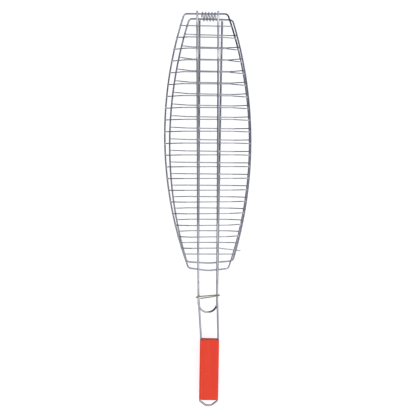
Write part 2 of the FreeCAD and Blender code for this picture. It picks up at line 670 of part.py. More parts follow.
# ---------------------------------------------------------------- lock ring
def make_ring():
    """Wire bent once round both hairpins, its two cut ends passing each other on top."""
    half_x, half_z = size("ring_half_width"), size("ring_half_height")
    right_y, left_y = size("ring_right_rise"), -size("ring_left_drop")
    cut_x = size("ring_cut_inset") - half_x
    middle = FreeCAD.Vector(size("ring_x"), size("ring_y"), size("ring_z"))
    line = [(cut_x, -size("ring_long_end_drop"), half_z), (half_x, right_y, half_z)]
    line += [(half_x, right_y, -half_z), (-half_x, left_y, -half_z)]
    line += [(-half_x, left_y, half_z), (cut_x, size("ring_short_end_rise"), half_z)]
    points = [middle + FreeCAD.Vector(x, y, z) for x, y, z in line]
    return sweep_rod("lock_ring", points, [size("ring_corner_radius")] * 4, "ring_wire_diameter")


# ---------------------------------------------------------------- wooden grip
def make_grip():
    """Flat wooden bar with a round-bottomed groove along each narrow edge for the rods."""
    body = new_body("wood_grip")
    outline = new_sketch(body, "grip_outline", "XY_Plane")
    half_x, half_y = size("grip_half_width"), size("grip_length") / 2
    corners = [(-half_x, -half_y), (half_x, -half_y), (half_x, half_y), (-half_x, half_y)]
    for i in range(4):
        a, b = corners[i], corners[(i + 1) % 4]
        outline.addGeometry(
            Part.LineSegment(FreeCAD.Vector(a[0], a[1], 0), FreeCAD.Vector(b[0], b[1], 0)), False)
    for i in range(4):
        outline.addConstraint(Sketcher.Constraint("Coincident", i, 2, (i + 1) % 4, 1))
        outline.addConstraint(Sketcher.Constraint("Vertical" if i % 2 else "Horizontal", i))
    outline.addConstraint(Sketcher.Constraint("Symmetric", 0, 1, 2, 1, -1, 1))
    outline.addConstraint(Sketcher.Constraint("DistanceX", 0, 1, 0, 2, 2 * half_x))
    bind_last(outline, "2 * Sizes.grip_half_width")
    outline.addConstraint(Sketcher.Constraint("DistanceY", 1, 1, 1, 2, 2 * half_y))
    bind_last(outline, "Sizes.grip_length")
    block = body.newObject("PartDesign::Pad", "grip_block")
    block.Profile = outline
    block.Midplane = True
    block.setExpression("Length", "Sizes.grip_thickness")
    body.Tip = block
    doc.recompute()

    corner_edges = []
    for i, edge in enumerate(block.Shape.Edges):
        if abs(edge.tangentAt(edge.FirstParameter).z) > 0.99:
            corner_edges.append("Edge%d" % (i + 1))
    corner_round = body.newObject("PartDesign::Fillet", "grip_corners")
    corner_round.Base = (block, corner_edges)
    corner_round.setExpression("Radius", "Sizes.grip_corner_radius")
    body.Tip = corner_round
    doc.recompute()

    face_edges = []
    for i, edge in enumerate(corner_round.Shape.Edges):
        if edge.BoundBox.ZLength < 0.001 and abs(edge.BoundBox.ZMax) > size("grip_thickness") / 2 - 0.01:
            face_edges.append("Edge%d" % (i + 1))
    edge_round = body.newObject("PartDesign::Fillet", "grip_edges")
    edge_round.Base = (corner_round, face_edges)
    edge_round.setExpression("Radius", "Sizes.grip_edge_radius")
    body.Tip = edge_round
    doc.recompute()

    groove = new_sketch(body, "grip_grooves", "XZ_Plane")
    radius, rod_x = size("groove_radius"), size("base_rod_half_grip")
    open_x = half_x + 2
    for side in (-1, 1):
        centre = FreeCAD.Vector(side * rod_x, 0, 0)
        circle = Part.Circle(centre, FreeCAD.Vector(0, 0, 1), radius)
        first = math.pi / 2 if side == 1 else -math.pi / 2
        bottom = groove.addGeometry(Part.ArcOfCircle(circle, first, first + math.pi), False)
        top_y = radius * side
        a = groove.addGeometry(Part.LineSegment(
            FreeCAD.Vector(side * rod_x, top_y, 0), FreeCAD.Vector(side * open_x, top_y, 0)), False)
        b = groove.addGeometry(Part.LineSegment(
            FreeCAD.Vector(side * open_x, top_y, 0), FreeCAD.Vector(side * open_x, -top_y, 0)), False)
        c = groove.addGeometry(Part.LineSegment(
            FreeCAD.Vector(side * open_x, -top_y, 0), FreeCAD.Vector(side * rod_x, -top_y, 0)), False)
        groove.addConstraint(Sketcher.Constraint("Tangent", bottom, 1, a, 1))
        groove.addConstraint(Sketcher.Constraint("Coincident", a, 2, b, 1))
        groove.addConstraint(Sketcher.Constraint("Coincident", b, 2, c, 1))
        groove.addConstraint(Sketcher.Constraint("Tangent", bottom, 2, c, 2))
        groove.addConstraint(Sketcher.Constraint("Horizontal", a))
        groove.addConstraint(Sketcher.Constraint("Vertical", b))
        groove.addConstraint(Sketcher.Constraint("PointOnObject", bottom, 3, -1))
        groove.addConstraint(Sketcher.Constraint("DistanceX", -1, 1, bottom, 3, side * rod_x))
        bind_last(groove, "%sSizes.base_rod_half_grip" % ("-" if side < 0 else ""))
        groove.addConstraint(Sketcher.Constraint("DistanceX", -1, 1, a, 2, side * open_x))
        bind_last(groove, "%s(Sizes.grip_half_width + 2)" % ("-" if side < 0 else ""))
        groove.addConstraint(Sketcher.Constraint("Radius", bottom, radius))
        bind_last(groove, "Sizes.groove_radius")
    cut = body.newObject("PartDesign::Pocket", "grip_groove_cut")
    cut.Profile = groove
    cut.Midplane = True
    cut.Type = 1
    body.Tip = cut
    place(body, "Sizes.grip_x", "Sizes.grip_middle_y", "Sizes.base_rod_z", "Sizes.grip_lean")
    return body


# ---------------------------------------------------------------- build, check, write
nodes = [make_rim("lid"), make_rim("base"), make_lid_rod(), make_base_rod()]
for number in range(1, wire_count):
    nodes.append(make_cross_wire("lid", number))
nodes.append(make_stray_wire(wire_count))
for number in range(1, wire_count + 1):
    nodes.append(make_cross_wire("base", number))
nodes += [make_coil(), make_ring(), make_grip()]
doc.recompute()

for item in doc.Objects:
    if "Invalid" in item.State or "Error" in item.State:
        raise RuntimeError("%s did not compute: %s" % (item.Name, item.State))
for node in nodes:
    if node.Shape.isNull() or not node.Shape.isValid() or not node.Shape.Solids:
        raise RuntimeError(node.Label + " has no valid solid")
    node.Shape.exportStep("parts/%s.step" % node.Label)
    print(node.Label, round(node.Shape.Volume, 1), node.Shape.BoundBox)
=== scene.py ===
import bpy
import bmesh
import math
import random
import numpy as np
from mathutils import Matrix, Vector, noise


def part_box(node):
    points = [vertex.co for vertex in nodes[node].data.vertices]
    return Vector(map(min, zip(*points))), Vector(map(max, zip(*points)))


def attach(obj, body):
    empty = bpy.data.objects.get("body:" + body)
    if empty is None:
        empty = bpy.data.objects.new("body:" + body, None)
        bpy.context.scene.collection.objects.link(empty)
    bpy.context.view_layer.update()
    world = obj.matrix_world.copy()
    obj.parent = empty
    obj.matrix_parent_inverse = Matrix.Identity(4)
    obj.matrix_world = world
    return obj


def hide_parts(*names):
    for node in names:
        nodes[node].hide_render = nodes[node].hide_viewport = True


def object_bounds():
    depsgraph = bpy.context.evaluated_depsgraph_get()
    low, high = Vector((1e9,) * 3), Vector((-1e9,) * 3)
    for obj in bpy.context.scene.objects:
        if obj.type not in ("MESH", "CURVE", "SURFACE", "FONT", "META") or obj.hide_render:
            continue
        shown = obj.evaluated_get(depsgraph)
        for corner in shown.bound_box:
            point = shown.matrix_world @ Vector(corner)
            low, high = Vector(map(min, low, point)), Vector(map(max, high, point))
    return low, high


# fish grill basket: chromed wire halves, coil hinge, lock ring, red wooden grip
# metres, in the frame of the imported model: +Y to the hinge, +Z up through the lid

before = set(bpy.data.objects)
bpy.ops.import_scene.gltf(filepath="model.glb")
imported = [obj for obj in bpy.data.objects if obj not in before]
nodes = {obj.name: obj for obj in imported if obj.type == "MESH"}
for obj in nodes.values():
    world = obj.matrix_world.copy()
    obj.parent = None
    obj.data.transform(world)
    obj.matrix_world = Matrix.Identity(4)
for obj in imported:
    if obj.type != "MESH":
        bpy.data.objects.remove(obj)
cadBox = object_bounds()
scene = bpy.context.scene
dice = random.Random(47)
mm = 0.001
print("frame loaded:", len(nodes), "wires and fittings")


# short forms for building node trees
def newGroup(name, inputs, outputs):
    group = bpy.data.node_groups.new(name, "ShaderNodeTree")
    for label, kind, value in inputs:
        socketType = "NodeSocket" + kind
        socket = group.interface.new_socket(name=label, in_out="INPUT", socket_type=socketType)
        socket.default_value = value
    for label, kind in outputs:
        group.interface.new_socket(name=label, in_out="OUTPUT", socket_type="NodeSocket" + kind)
    return group, group.nodes.new("NodeGroupInput"), group.nodes.new("NodeGroupOutput")


def addNode(tree, kind, **settings):
    node = tree.nodes.new("ShaderNode" + kind)
    for key, value in settings.items():
        setattr(node, key, value)
    return node


def link(tree, source, target):
    tree.links.new(source, target)


def mathNode(tree, operation, first, second=None, third=None):
    node = addNode(tree, "Math", operation=operation)
    for slot, value in enumerate((first, second, third)):
        if value is None:
            continue
        if isinstance(value, (int, float)):
            node.inputs[slot].default_value = value
        else:
            link(tree, value, node.inputs[slot])
    return node.outputs[0]


def noiseNode(tree, vector, scale, detail=4.0, roughness=0.55, distortion=0.0):
    node = addNode(tree, "TexNoise")
    if isinstance(scale, (int, float)):
        node.inputs["Scale"].default_value = scale
    else:
        link(tree, scale, node.inputs["Scale"])
    node.inputs["Detail"].default_value = detail
    node.inputs["Roughness"].default_value = roughness
    node.inputs["Distortion"].default_value = distortion
    link(tree, vector, node.inputs["Vector"])
    return node.outputs["Fac"]


def spread(tree, value, low, high, outLow=0.0, outHigh=1.0):
    node = addNode(tree, "MapRange", interpolation_type="SMOOTHSTEP")
    for label, number in (("From Min", low), ("From Max", high), ("To Min", outLow), ("To Max", outHigh)):
        if isinstance(number, (int, float)):
            node.inputs[label].default_value = number
        else:
            link(tree, number, node.inputs[label])
    link(tree, value, node.inputs["Value"])
    return node.outputs["Result"]


def blendColour(tree, factor, first, second):
    node = addNode(tree, "Mix", data_type="RGBA", blend_type="MIX")
    sockets = [s for s in node.inputs if s.type == "RGBA"]
    if isinstance(factor, (int, float)):
        node.inputs[0].default_value = factor
    else:
        link(tree, factor, node.inputs[0])
    for socket, value in zip(sockets, (first, second)):
        if isinstance(value, (tuple, list)):
            socket.default_value = tuple(value) + (1.0,) * (4 - len(value))
        else:
            link(tree, value, socket)
    return [s for s in node.outputs if s.type == "RGBA"][0]


def stretched(tree, vector, scale):
    node = addNode(tree, "Mapping")
    node.inputs["Scale"].default_value = scale
    link(tree, vector, node.inputs["Vector"])
    return node.outputs["Vector"]


# shared surface effects
def buildPlatingGroup():
    # patchy thickness of a thin plated coat: a mask of thin places and a slow drift of tone
    group, given, out = newGroup(
        "thinPlating",
        [("Vector", "Vector", (0, 0, 0)), ("PatchScale", "Float", 60.0), ("Amount", "Float", 0.5)],
        [("Thin", "Float"), ("Drift", "Float")])
    patches = noiseNode(group, given.outputs["Vector"], given.outputs["PatchScale"], 6.0, 0.6, 0.4)
    thin = spread(group, patches, 0.52, 0.74)
    link(group, mathNode(group, "MULTIPLY", thin, given.outputs["Amount"]), out.inputs["Thin"])
    slow = noiseNode(group, stretched(group, given.outputs["Vector"], (0.35, 0.12, 0.35)),
                     given.outputs["PatchScale"], 2.0)
    link(group, spread(group, slow, 0.3, 0.7), out.inputs["Drift"])
    return group


def buildScuffGroup():
    # fine rubs and handling marks, as a mask and a small height
    group, given, out = newGroup(
        "handlingScuffs",
        [("Vector", "Vector", (0, 0, 0)), ("Scale", "Float", 900.0), ("Strength", "Float", 0.5)],
        [("Rub", "Float"), ("Relief", "Float")])
    lengthwise = noiseNode(group, stretched(group, given.outputs["Vector"], (1.0, 0.09, 1.0)),
                           given.outputs["Scale"], 3.0, 0.6)
    crosswise = noiseNode(group, stretched(group, given.outputs["Vector"], (0.12, 1.0, 1.0)),
                          given.outputs["Scale"], 3.0, 0.6)
    rub = mathNode(group, "MAXIMUM", spread(group, lengthwise, 0.56, 0.72),
                   spread(group, crosswise, 0.6, 0.75))
    link(group, mathNode(group, "MULTIPLY", rub, given.outputs["Strength"]), out.inputs["Rub"])
    finer = mathNode(group, "MULTIPLY", given.outputs["Scale"], 2.3)
    grit = noiseNode(group, given.outputs["Vector"], finer, 2.0)
    relief = mathNode(group, "MULTIPLY_ADD", grit, 0.4, mathNode(group, "MULTIPLY", rub, -0.6))
    link(group, relief, out.inputs["Relief"])
    return group


def buildWearGroup():
    # worn convex edges: where the surface turns outward, broken up by noise
    group, given, out = newGroup(
        "edgeWear",
        [("Vector", "Vector", (0, 0, 0)), ("Scale", "Float", 300.0), ("Low", "Float", 0.52),
         ("High", "Float", 0.6)],
        [("Worn", "Float")])
    geometry = addNode(group, "NewGeometry")
    convex = spread(group, geometry.outputs["Pointiness"], given.outputs["Low"], given.outputs["High"])
    flakes = noiseNode(group, given.outputs["Vector"], given.outputs["Scale"], 5.0, 0.7)
    broken = spread(group, flakes, 0.42, 0.6)
    link(group, mathNode(group, "MULTIPLY", convex, broken), out.inputs["Worn"])
    return group


def buildGrainGroup():
    # straight wood grain along Y: growth lines, pores and a soft figure
    group, given, out = newGroup(
        "woodGrain",
        [("Vector", "Vector", (0, 0, 0)), ("LineScale", "Float", 420.0), ("PoreScale", "Float", 1500.0)],
        [("Lines", "Float"), ("Pores", "Float"), ("Figure", "Float")])
    vector = given.outputs["Vector"]
    figure = noiseNode(group, stretched(group, vector, (1.0, 0.06, 1.0)), 90.0, 3.0, 0.5, 0.6)
    alongLines = stretched(group, vector, (1.0, 0.02, 1.0))
    lines = noiseNode(group, alongLines, given.outputs["LineScale"], 4.0, 0.6, 0.3)
    alongPores = stretched(group, vector, (1.0, 0.045, 1.0))
    pores = noiseNode(group, alongPores, given.outputs["PoreScale"], 2.0, 0.5)
    link(group, spread(group, lines, 0.35, 0.65), out.inputs["Lines"])
    link(group, spread(group, pores, 0.60, 0.70), out.inputs["Pores"])
    link(group, figure, out.inputs["Figure"])
    return group


def buildHingeShadeGroup():
    # painted shade, growing along Y between two places, broken into soft clouds
    group, given, out = newGroup(
        "paintedHingeShade",
        [("Vector", "Vector", (0, 0, 0)), ("Start", "Float", 0.0), ("Full", "Float", 0.2),
         ("CloudScale", "Float", 45.0)],
        [("Tint", "Float")])
    parts = addNode(group, "SeparateXYZ")
    link(group, given.outputs["Vector"], parts.inputs["Vector"])
    grown = spread(group, parts.outputs["Y"], given.outputs["Start"], given.outputs["Full"])
    clouds = noiseNode(group, given.outputs["Vector"], given.outputs["CloudScale"], 4.0)
    cloudy = spread(group, clouds, 0.25, 0.55, 0.6, 1.0)
    link(group, mathNode(group, "MULTIPLY", grown, cloudy), out.inputs["Tint"])
    return group


def buildDarkSpotGroup():
    # painted dark reflection: one darkened place on a wire, ragged at its rim
    group, given, out = newGroup(
        "paintedDarkSpot",
        [("Vector", "Vector", (0, 0, 0)), ("Centre", "Vector", (0, 0, 0)), ("Inner", "Float", 0.01),
         ("Outer", "Float", 0.02)],
        [("PaintedDark", "Float")])
    gap = addNode(group, "VectorMath", operation="DISTANCE")
    link(group, given.outputs["Vector"], gap.inputs[0])
    link(group, given.outputs["Centre"], gap.inputs[1])
    ragged = noiseNode(group, given.outputs["Vector"], 350.0, 4.0)
    reach = mathNode(group, "MULTIPLY_ADD", ragged, 0.006, gap.outputs["Value"])
    darkSpot = spread(group, reach, given.outputs["Inner"], given.outputs["Outer"], 1.0, 0.0)
    link(group, darkSpot, out.inputs["PaintedDark"])
    return group


effects = {
    "hingeShade": buildHingeShadeGroup(),
    "darkSpot": buildDarkSpotGroup(),
    "plating": buildPlatingGroup(),
    "scuffs": buildScuffGroup(),
    "wear": buildWearGroup(),
    "grain": buildGrainGroup(),
}
print("shared effects built:", ", ".join(sorted(effects)))


def newMaterial(name):
    material = bpy.data.materials.new(name)
    material.use_nodes = True
    tree = material.node_tree
    tree.nodes.clear()
    shader = addNode(tree, "BsdfPrincipled")
    output = addNode(tree, "OutputMaterial")
    link(tree, shader.outputs["BSDF"], output.inputs["Surface"])
    place = addNode(tree, "TexCoord").outputs["Object"]
    return material, tree, shader, place


def effect(tree, key, vector, **values):
    node = addNode(tree, "Group", node_tree=effects[key])
    link(tree, vector, node.inputs["Vector"])
    for label, value in values.items():
        node.inputs[label].default_value = value
    return node


def relief(tree, shader, height, strength, distance):
    bump = addNode(tree, "Bump")
    bump.inputs["Strength"].default_value = strength
    bump.inputs["Distance"].default_value = distance
    link(tree, height, bump.inputs["Height"])
    link(tree, bump.outputs["Normal"], shader.inputs["Normal"])


# plated wires
chromeLook = {
    "bright": (0.49, 0.495, 0.53),     # full coat
    "cool": (0.39, 0.395, 0.445),      # where the coat is thin and bluish
    "dull": (0.24, 0.24, 0.27),        # rubbed or stained places
    "roughLow": 0.09,
    "roughHigh": 0.26,
    "patchScale": 70.0,
    "scuffScale": 1100.0,
    "thinAmount": 0.6,
    "scuffStrength": 0.5,
    "reliefStrength": 0.25,
    "reliefDepth": 0.04 * mm,
}


def platedWire(name, look, hingeShade=None, darkSpot=None):
    material, tree, shader, place = newMaterial(name)
    plating = effect(tree, "plating", place, PatchScale=look["patchScale"], Amount=look["thinAmount"])
    scuffs = effect(tree, "scuffs", place, Scale=look["scuffScale"], Strength=look["scuffStrength"])
    tone = blendColour(tree, plating.outputs["Drift"], look["bright"], look["cool"])
    # painted shade towards the hinge end, blended over the plating tone
    if hingeShade:
        hingeShadeMask = effect(tree, "hingeShade", place, Start=hingeShade["start"], Full=hingeShade["full"])
        tone = blendColour(tree, hingeShadeMask.outputs["Tint"], tone, hingeShade["tone"])
    tone = blendColour(tree, plating.outputs["Thin"], tone, look["dull"])
    # painted dark reflection: a darkened spot blended over the tone
    if darkSpot:
        spot = effect(tree, "darkSpot", place, Centre=darkSpot["centre"], Inner=darkSpot["inner"],
                      Outer=darkSpot["outer"])
        tone = blendColour(tree, spot.outputs["PaintedDark"], tone, darkSpot["tone"])
    link(tree, tone, shader.inputs["Base Color"])
    rough = mathNode(tree, "MAXIMUM", plating.outputs["Thin"], scuffs.outputs["Rub"])
    roughness = spread(tree, rough, 0.0, 1.0, look["roughLow"], look["roughHigh"])
    link(tree, roughness, shader.inputs["Roughness"])
    shader.inputs["Metallic"].default_value = 1.0
    relief(tree, shader, scuffs.outputs["Relief"], look["reliefStrength"], look["reliefDepth"])
    return material


# painted shade: the rims are toned darker than the rods, standing in for the dark surroundings they
# reflect
rimShadedLook = dict(chromeLook, bright=(0.425, 0.43, 0.47), cool=(0.32, 0.325, 0.37), patchScale=90.0)
# painted shade: the base rods are toned darker, standing in for the shade under the lid rods above them
baseRodShadedLook = dict(chromeLook, bright=(0.43, 0.435, 0.475), cool=(0.33, 0.335, 0.38))
crossLook = dict(chromeLook, bright=(0.36, 0.365, 0.40), cool=(0.27, 0.275, 0.32), patchScale=120.0,
                 thinAmount=0.8)
# painted shade: the coil is toned darker than the other wires, standing in for the shade between its
# turns
coilShadedLook = dict(chromeLook, bright=(0.34, 0.345, 0.39), cool=(0.20, 0.21, 0.26), dull=(0.10, 0.10, 0.13),
                patchScale=150.0, thinAmount=0.8)
# painted highlight: the beads are toned near white so that they show as bright dots where the wires cross
weldHighlightLook = dict(chromeLook, bright=(0.97, 0.97, 0.98), cool=(0.86, 0.86, 0.89), dull=(0.42, 0.41, 0.42),
                roughLow=0.16, roughHigh=0.38, patchScale=500.0, scuffScale=2600.0,
                thinAmount=0.9, scuffStrength=0.8)
# yellow zinc, matt, with browned patches
ringLook = dict(chromeLook, bright=(0.30, 0.27, 0.21), cool=(0.20, 0.18, 0.15), dull=(0.09, 0.06, 0.045),
                roughLow=0.3, roughHigh=0.55, patchScale=230.0, scuffScale=1400.0,
                thinAmount=0.95, scuffStrength=0.7)

# painted shade: darker towards the hinge end, from one place along Y to another
rimHingeShade = {"start": -0.02, "full": 0.13, "tone": (0.215, 0.22, 0.285)}
baseRodHingeShade = {"start": -0.08, "full": 0.10, "tone": (0.25, 0.255, 0.32)}

# painted dark reflection: a darkened place at the lid's right shoulder, and one on the bend of its handle
lidRimDarkReflection = {"centre": (0.039, 0.273, 0.022), "inner": 0.022, "outer": 0.042,
                "tone": (0.06, 0.06, 0.12)}
handleDarkReflection = {"centre": (0.0095, -0.150, 0.022), "inner": 0.008, "outer": 0.013,
                "tone": (0.06, 0.06, 0.09)}

chromeRod = platedWire("chromeRod", chromeLook, darkSpot=handleDarkReflection)
chromeBaseRodShaded = platedWire("chromeBaseRodShaded", baseRodShadedLook, hingeShade=baseRodHingeShade)
chromeRimShaded = platedWire("chromeRimShaded", rimShadedLook, hingeShade=rimHingeShade)
chromeLidRimShaded = platedWire("chromeLidRimShaded", rimShadedLook, hingeShade=rimHingeShade, darkSpot=lidRimDarkReflection)
chromeCross = platedWire("chromeCross", crossLook)
chromeCoilShaded = platedWire("chromeCoilShaded", coilShadedLook)
chromeWeldHighlight = platedWire("chromeWeldHighlight", weldHighlightLook)
zincRing = platedWire("zincRing", ringLook)


def dress(name, material):
    mesh = nodes[name].data
    mesh.materials.clear()
    mesh.materials.append(material)


finishes = {
    "lid_rim_wire": chromeLidRimShaded,
    "base_rim_wire": chromeRimShaded,
    "lid_handle_rod": chromeRod,
    "base_handle_rod": chromeBaseRodShaded,
    "hinge_coil": chromeCoilShaded,
    "lock_ring": zincRing,
}
for name in nodes:
    if "cross_wire" in name:
        dress(name, chromeCross)
    elif name in finishes:
        dress(name, finishes[name])
print("wires plated")


# welds where the wires cross
welds = {
    "length": 1.5 * mm,            # half size along the cross wire, on the rods
    "rimLength": 0.92 * mm,        # and on the rim, so that none stands out sideways
    "width": 1.45 * mm,            # half size across it
    "height": 0.55 * mm,
    "barSize": (2.1 * mm, 1.9 * mm, 0.7 * mm),     # where the rods lie on the rim
    "intoRod": 0.38,               # how far from the cross wire's middle to the thick wire's
    "intoBar": 0.45,
    "jitter": 0.18,
    "swell": 0.10,
    "swellScale": 900,
    "rings": 7,
    "segments": 12,
}
wireSizes = {
    "passGap": 4.5 * mm,           # two passes of one wire are further apart than this
    "weldReach": 3.2 * mm,         # wires whose middles are nearer than this are welded
    "rimInset": 1.3 * mm,          # from the end of a cross wire to the middle of the rim
    "rodHalf": 15 * mm,            # a first guess at the rods' place
    "hingeInset": 1.5 * mm,        # rim's edge to the middle of its bar, at the hinge
    "footInset": 2.5 * mm,         # and at the foot
}


def meshLines(name):
    mesh = nodes[name].data
    points = np.empty(len(mesh.vertices) * 3, np.float64)
    mesh.vertices.foreach_get("co", points)
    edges = np.empty(len(mesh.edges) * 2, np.int64)
    mesh.edges.foreach_get("vertices", edges)
    return points.reshape(-1, 3), edges.reshape(-1, 2)


wireLines = {name: meshLines(name) for name in nodes if "wire" in name or name.endswith("handle_rod")}


def sliceCentres(name, axis, at):
    # middles of the cuts where a plane crosses the wire, one for each pass of the wire
    points, edges = wireLines[name]
    a, b = points[edges[:, 0]], points[edges[:, 1]]
    crossed = (a[:, axis] - at) * (b[:, axis] - at) < 0
    a, b = a[crossed], b[crossed]
    t = ((at - a[:, axis]) / (b[:, axis] - a[:, axis]))[:, None]
    groups = []
    for p in a + (b - a) * t:
        for group in groups:
            if np.linalg.norm(np.mean(group, axis=0) - p) < wireSizes["passGap"]:
                group.append(p)
                break
        else:
            groups.append([p])
    return [(np.min(g, axis=0) + np.max(g, axis=0)) / 2 for g in groups]


def nearestTo(centres, point):
    return min(centres, key=lambda centre: np.linalg.norm(centre - point))


def crossing(thick, thin, sideSign):
    # the place where a thin cross wire lies on a rod or on the rim, on one side
    low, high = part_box(thin)
    if thick.endswith("rim_wire"):
        x = high.x - wireSizes["rimInset"] if sideSign > 0 else low.x + wireSizes["rimInset"]
    else:
        x = (low.x + high.x) / 2 + sideSign * wireSizes["rodHalf"]
    for _ in range(3):
        thinCentres = sliceCentres(thin, 0, x)
        if not thinCentres:
            return None
        onThin = thinCentres[0]
        thickCentres = sliceCentres(thick, 1, onThin[1])
        if not thickCentres:
            return None
        onThick = nearestTo(thickCentres, np.array([x, onThin[1], onThin[2]]))
        x = onThick[0]
    return Vector(onThin), Vector(onThick)


def barCrossings(half):
    # where the two rods lie on the rim at the hinge bar and at the foot
    found = []
    rod, rim = half + "_handle_rod", half + "_rim_wire"
    low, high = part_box(rim)
    for startY in (high.y - wireSizes["hingeInset"], low.y + wireSizes["footInset"]):
        for onRod in sliceCentres(rod, 1, startY):
            rimCentres = sliceCentres(rim, 0, onRod[0])
            if not rimCentres:
                continue
            onRim = nearestTo(rimCentres, onRod)
            rodCentres = sliceCentres(rod, 1, onRim[1])
            if not rodCentres:
                continue
            onRod = nearestTo(rodCentres, onRim)
            if np.linalg.norm(onRod - onRim) < wireSizes["passGap"]:
                found.append((Vector(onRod), Vector(onRim)))
    return found


def addBead(bm, centre, along, up, size):
    # a squeezed bead of metal between two crossed wires
    across = up.cross(along)
    length, width, height = [part * (1 + dice.uniform(-1, 1) * welds["jitter"]) for part in size]
    rings, segments = welds["rings"], welds["segments"]
    scale = welds["swellScale"]
    rows = []
    for i in range(rings + 1):
        lift = math.pi * i / rings
        row = []
        for j in range(segments):
            turn = 2 * math.pi * j / segments
            spot = Vector((centre.x * scale + math.cos(turn), centre.y * scale + math.sin(turn), lift))
            swell = 1 + welds["swell"] * noise.noise(spot)
            sideways = along * math.cos(turn) * length + across * math.sin(turn) * width
            row.append((sideways * math.sin(lift) + up * math.cos(lift) * height) * swell + centre)
        rows.append(row)
    top = bm.verts.new(sum(rows[0], Vector()) / segments)
    bottom = bm.verts.new(sum(rows[-1], Vector()) / segments)
    made = [[bm.verts.new(p) for p in row] for row in rows[1:-1]]
    for j in range(segments):
        k = (j + 1) % segments
        for a, b in zip(made, made[1:]):
            bm.faces.new((a[j], b[j], b[k], a[k]))
        bm.faces.new((top, made[0][j], made[0][k]))
        bm.faces.new((bottom, made[-1][k], made[-1][j]))


def finishMesh(bm, name, material):
    mesh = bpy.data.meshes.new(name)
    bm.to_mesh(mesh)
    bm.free()
    mesh.materials.append(material)
    for polygon in mesh.polygons:
        polygon.use_smooth = True
    return mesh


def buildWelds(half):
    bm = bmesh.new()
    count = 0
    sizes = {
        half + "_handle_rod": (welds["length"], welds["width"], welds["height"]),
        half + "_rim_wire": (welds["rimLength"], welds["width"], welds["height"]),
    }
    sideways = Vector((1, 0, 0))
    for thin in sorted(n for n in nodes if n.startswith(half + "_cross_wire")):
        for thick, size in sizes.items():
            for sideSign in (-1, 1):
                found = crossing(thick, thin, sideSign)
                if found is None or (found[0] - found[1]).length > wireSizes["weldReach"]:
                    continue
                onThin, onThick = found
                up = (onThick - onThin).normalized()
                along = (sideways - up * sideways.dot(up)).normalized()
                addBead(bm, onThin.lerp(onThick, welds["intoRod"]), along, up, size)
                count += 1
    for onRod, onRim in barCrossings(half):
        up = (onRim - onRod).normalized()
        addBead(bm, onRod.lerp(onRim, welds["intoBar"]), sideways, up, welds["barSize"])
        count += 1
    bmesh.ops.recalc_face_normals(bm, faces=bm.faces)
    piece = bpy.data.objects.new(half + "_weld_beads", finishMesh(bm, half + "Welds", chromeWeldHighlight))
    scene.collection.objects.link(piece)
    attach(piece, half)
    print(half, "welds:", count)


buildWelds("lid")
buildWelds("base")


# red paint on the grip
paintLook = {
    "red": (0.885, 0.064, 0.031),
    "redDeep": (0.78, 0.040, 0.019),
    "redThin": (0.94, 0.084, 0.040),
    "bareWood": (0.42, 0.20, 0.09),
    "endGrainAndShadeRed": (0.30, 0.016, 0.011),
    "roughLow": 0.46,
    "roughHigh": 0.70,
    "specular": 0.14,
    "grain": {"LineScale": 420.0, "PoreScale": 1500.0},
    "scuffs": {"Scale": 520.0, "Strength": 0.6},
    "wear": {"Scale": 420.0, "Low": 0.53, "High": 0.62},
    "lineShare": 0.45,             # how strongly growth lines, figure and pores show through
    "figureShare": 0.35,
    "poreShare": 0.5,
    "endFrom": (0.22, 0.55),       # how far a face has to turn to an end to take its colour
    "lineHeight": 0.5,
    "poreHeight": -0.8,
    "reliefStrength": 0.35,
    "reliefDepth": 0.12 * mm,
}


def paintedWood(look):
    material, tree, shader, place = newMaterial("redPaintedWood")
    grain = effect(tree, "grain", place, **look["grain"])
    scuffs = effect(tree, "scuffs", place, **look["scuffs"])
    wear = effect(tree, "wear", place, **look["wear"])
    lines = mathNode(tree, "MULTIPLY", grain.outputs["Lines"], look["lineShare"])
    figure = mathNode(tree, "MULTIPLY", grain.outputs["Figure"], look["figureShare"])
    pores = mathNode(tree, "MULTIPLY", grain.outputs["Pores"], look["poreShare"])
    tone = blendColour(tree, lines, look["red"], look["redDeep"])
    tone = blendColour(tree, figure, tone, look["redThin"])
    # the end faces and their rounded corners are darker: partly end grain soaking up paint, partly
    # painted shade on faces turned away from the light above
    parts = addNode(tree, "SeparateXYZ")
    link(tree, addNode(tree, "TexCoord").outputs["Normal"], parts.inputs["Vector"])
    endGrainAndShade = spread(tree, mathNode(tree, "ABSOLUTE", parts.outputs["Y"]), *look["endFrom"])
    tone = blendColour(tree, endGrainAndShade, tone, look["endGrainAndShadeRed"])
    tone = blendColour(tree, pores, tone, look["redDeep"])
    tone = blendColour(tree, wear.outputs["Worn"], tone, look["bareWood"])
    link(tree, tone, shader.inputs["Base Color"])
    rough = mathNode(tree, "MAXIMUM", grain.outputs["Pores"], scuffs.outputs["Rub"])
    roughness = spread(tree, rough, 0.0, 1.0, look["roughLow"], look["roughHigh"])
    link(tree, roughness, shader.inputs["Roughness"])
    shader.inputs["Specular IOR Level"].default_value = look["specular"]
    sunk = mathNode(tree, "MULTIPLY", grain.outputs["Pores"], look["poreHeight"])
    height = mathNode(tree, "MULTIPLY_ADD", grain.outputs["Lines"], look["lineHeight"], sunk)
    relief(tree, shader, height, look["reliefStrength"], look["reliefDepth"])
    return material


# wooden grip
grip = {
    "cornerRound": 3.5 * mm,       # seen from the front
    "edgeRound": 1.5 * mm,         # along the faces
    "endRound": 0.20,              # rounding of the end edges, against cornerRound
    "grooveRadius": 1.62 * mm,     # the handle rods lie in these
    "grooveDepth": 3.06 * mm,
    "grooveLip": 0.35 * mm,        # rounding where a groove opens
    "lean": -0.66,                 # degrees
    "crown": 0.18 * mm,            # faces stand this much proud in the middle
    "unevenness": 0.07 * mm,
    "unevenScale": (60, 14, 60),
    "stations": 46,                # rings of points along the straight part
    "cornerSteps": 7,
    "edgeSteps": 6,
    "faceSteps": 5,
    "lipSteps": 3,
    "faceShare": 0.93,             # the flat steps go this far out, then the rounded edge starts
    "sharpAbove": 38.0,            # degrees between faces that stay crisp
}


